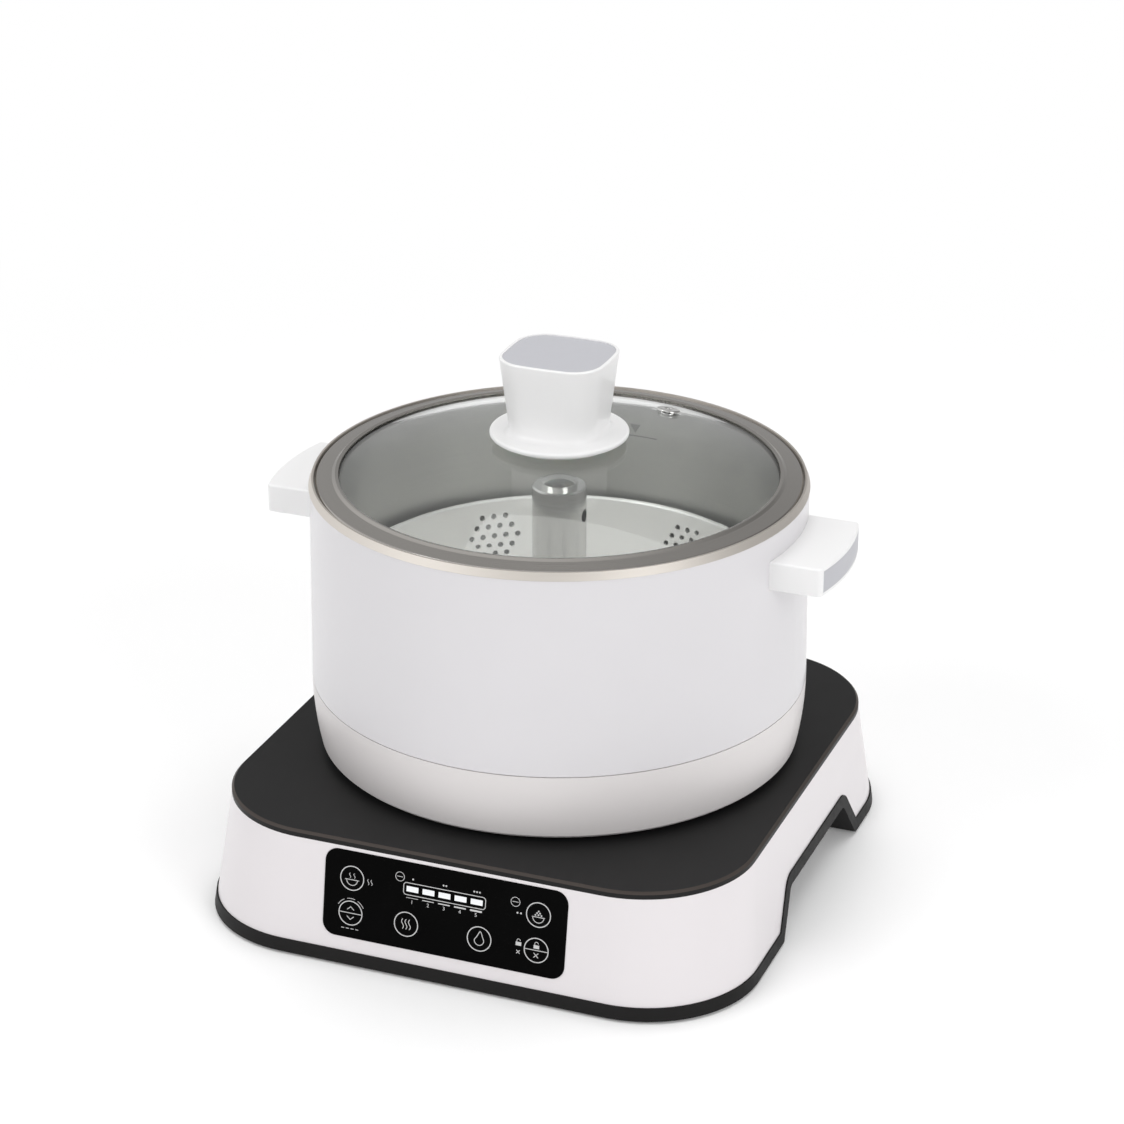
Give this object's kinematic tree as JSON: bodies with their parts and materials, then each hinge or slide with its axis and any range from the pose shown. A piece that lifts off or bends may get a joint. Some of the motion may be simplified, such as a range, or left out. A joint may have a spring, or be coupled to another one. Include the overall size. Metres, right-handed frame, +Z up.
{
  "type": "electric hot pot",
  "caption": "Countertop electric hot pot: touch-panel base with an arched underside, lift-off clad pot with side handles, powered lifting basket on a centre column and a domed glass lid.",
  "frame": {"origin": "on the table under the middle of the base, on the feet's lower faces", "axes": "+Z up, +X to the user's right along the two handles, -Y towards the control panel"},
  "size_m": [0.315, 0.3146, 0.2826],
  "materials": {
    "base_white": "satin white moulding, faintly warm",
    "pot_white": "smooth white cladding, faintly lavender",
    "band_white": "satin off-white moulding",
    "trim_white": "satin white moulding",
    "trim_grey": "fine matt grey",
    "tray_black": "fine-grained black moulding",
    "plate_black": "black satin glass plate",
    "panel_black": "gloss black touch panel with grey print",
    "light_white": "pale light guides",
    "pot_steel": "satin stainless steel",
    "basket_steel": "bright perforated stainless steel",
    "ring_steel": "turned stainless steel",
    "column_steel": "polished stainless steel",
    "lid_glass": "clear tempered glass, slightly grey-green",
    "rubber": "black rubber",
    "silicone": "translucent silicone",
    "inner_plastic": "black heat-resistant plastic",
    "gear_plastic": "natural acetal",
    "board": "green circuit board",
    "copper": "lacquered copper wire",
    "ferrite": "sintered ferrite",
    "aluminium": "bare aluminium",
    "bronze": "sintered bronze",
    "steel": "plain steel"
  },
  "bodies": {
    "base": {"base_housing": "base_white", "base_tray": "tray_black", "top_plate": "plate_black", "control_panel": "panel_black", "level_lights": "light_white", "control_board": "board", "coil_carrier": "inner_plastic", "induction_coil": "copper", "ferrite_bars": "ferrite", "plate_sensor": "aluminium", "power_board": "board", "heat_sink": "aluminium", "fan_frame": "inner_plastic", "lift_motor": "steel", "motor_bracket": "steel", "drive_bush": "bronze", "splash_collar": "inner_plastic", "power_inlet": "inner_plastic", "inlet_pins": "steel", "rubber_feet": "rubber", "tray_screws": "steel"},
    "fan": {"fan_rotor": "inner_plastic"},
    "pinion": {"motor_rotor": "steel", "motor_pinion": "gear_plastic"},
    "drive": {"drive_gear": "gear_plastic", "drive_dog": "steel"},
    "pot": {"pot_shell": "pot_white", "pot_skirt": "band_white", "inner_pot": "pot_steel", "heat_disc": "steel", "rim_gasket": "silicone", "left_handle": "trim_white", "right_handle": "trim_white", "left_handle_insert": "trim_grey", "right_handle_insert": "trim_grey", "handle_screws": "steel", "lift_column": "column_steel", "column_cap": "column_steel", "shaft_housing": "gear_plastic", "shaft_seal": "silicone"},
    "screw": {"lift_screw": "steel", "driven_dog": "gear_plastic"},
    "nut": {"lift_nut": "gear_plastic"},
    "basket": {"basket": "basket_steel", "basket_hub": "basket_steel", "hub_ring": "basket_steel"},
    "lid": {"lid_glass": "lid_glass", "lid_ring": "ring_steel", "lid_vent": "column_steel", "knob": "trim_white", "knob_top": "trim_grey", "knob_washer": "silicone", "screw_washer": "silicone", "knob_screw": "steel"}
  },
  "joints": [
    {"name": "pot_lift", "type": "slide", "parent": "base", "child": "pot", "axis": [0, 0, 1], "range_m": [0, 0.12]},
    {"name": "lid_lift", "type": "slide", "parent": "pot", "child": "lid", "axis": [0, 0, 1], "range_m": [0, 0.12]},
    {"name": "basket_rise", "type": "slide", "parent": "pot", "child": "basket", "axis": [0, 0, 1], "range_m": [0, 0.045]},
    {"name": "nut_rise", "type": "slide", "parent": "pot", "child": "nut", "axis": [0, 0, 1], "range_m": [0, 0.045]},
    {"name": "screw_turn", "type": "hinge", "parent": "pot", "child": "screw", "pos_m": [0, 0.0091, 0], "axis": [0, 0, 1], "range_deg": [0, 1080]},
    {"name": "drive_turn", "type": "hinge", "parent": "base", "child": "drive", "pos_m": [0, 0.0091, 0], "axis": [0, 0, 1], "range_deg": [0, 1080]},
    {"name": "pinion_turn", "type": "hinge", "parent": "base", "child": "pinion", "pos_m": [-0.029, 0.0091, 0], "axis": [0, 0, 1], "range_deg": [-3395.29, 0]},
    {"name": "fan_spin", "type": "hinge", "parent": "base", "child": "fan", "pos_m": [0.076, 0.0091, 0], "axis": [0, 0, 1], "continuous": true}
  ],
  "couplings": [
    {"joint": "nut_rise", "follows": "basket_rise", "ratio": 1},
    {"joint": "screw_turn", "follows": "basket_rise", "rad_per_m": 418.88},
    {"joint": "drive_turn", "follows": "basket_rise", "rad_per_m": 418.88},
    {"joint": "pinion_turn", "follows": "basket_rise", "rad_per_m": -1316.5}
  ]
}
